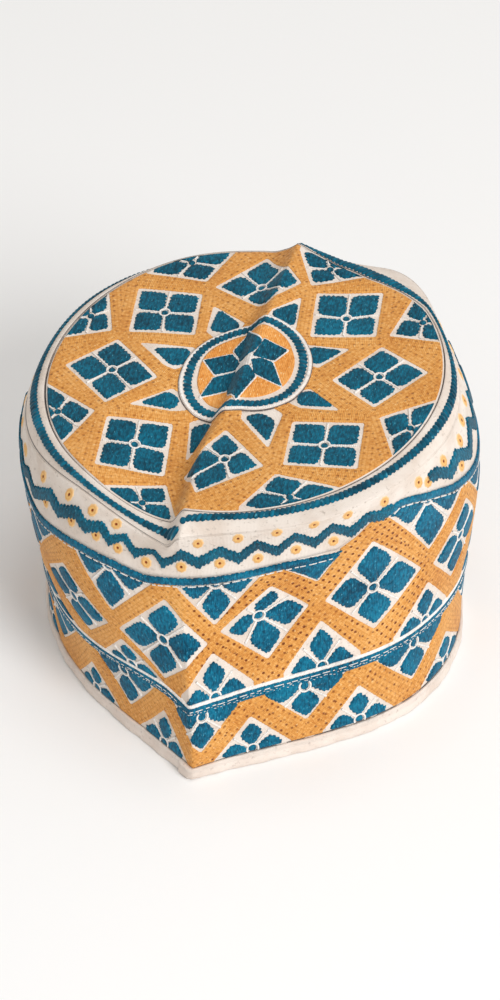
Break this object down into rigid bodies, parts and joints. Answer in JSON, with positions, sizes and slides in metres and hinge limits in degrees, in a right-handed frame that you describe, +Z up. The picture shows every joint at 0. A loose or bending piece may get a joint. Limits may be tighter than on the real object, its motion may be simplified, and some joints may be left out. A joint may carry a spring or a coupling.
{
  "type": "kummah",
  "caption": "Round embroidered Omani cap with a flat crown, a tall side, a zigzag band under the rim and a bound hem.",
  "frame": {"origin": "middle of the cap's outline in plan, on the surface that its hem stands on", "axes": "+Z up from the hem to the crown, +Y from the front corner to the back corner, +X to the right seen from the front"},
  "size_m": [0.1939, 0.2153, 0.1342],
  "materials": {
    "crown_embroidery": "matt",
    "roundel_embroidery": "matt",
    "ring_cotton": "matt",
    "band_cotton": "matt",
    "wall_embroidery": "matt",
    "binding_cotton": "matt"
  },
  "bodies": {
    "root": {"crown_panel": "crown_embroidery", "crown_roundel": "roundel_embroidery", "crown_ring": "ring_cotton", "upper_band": "band_cotton", "side_wall": "wall_embroidery", "hem_binding": "binding_cotton"}
  },
  "joints": []
}
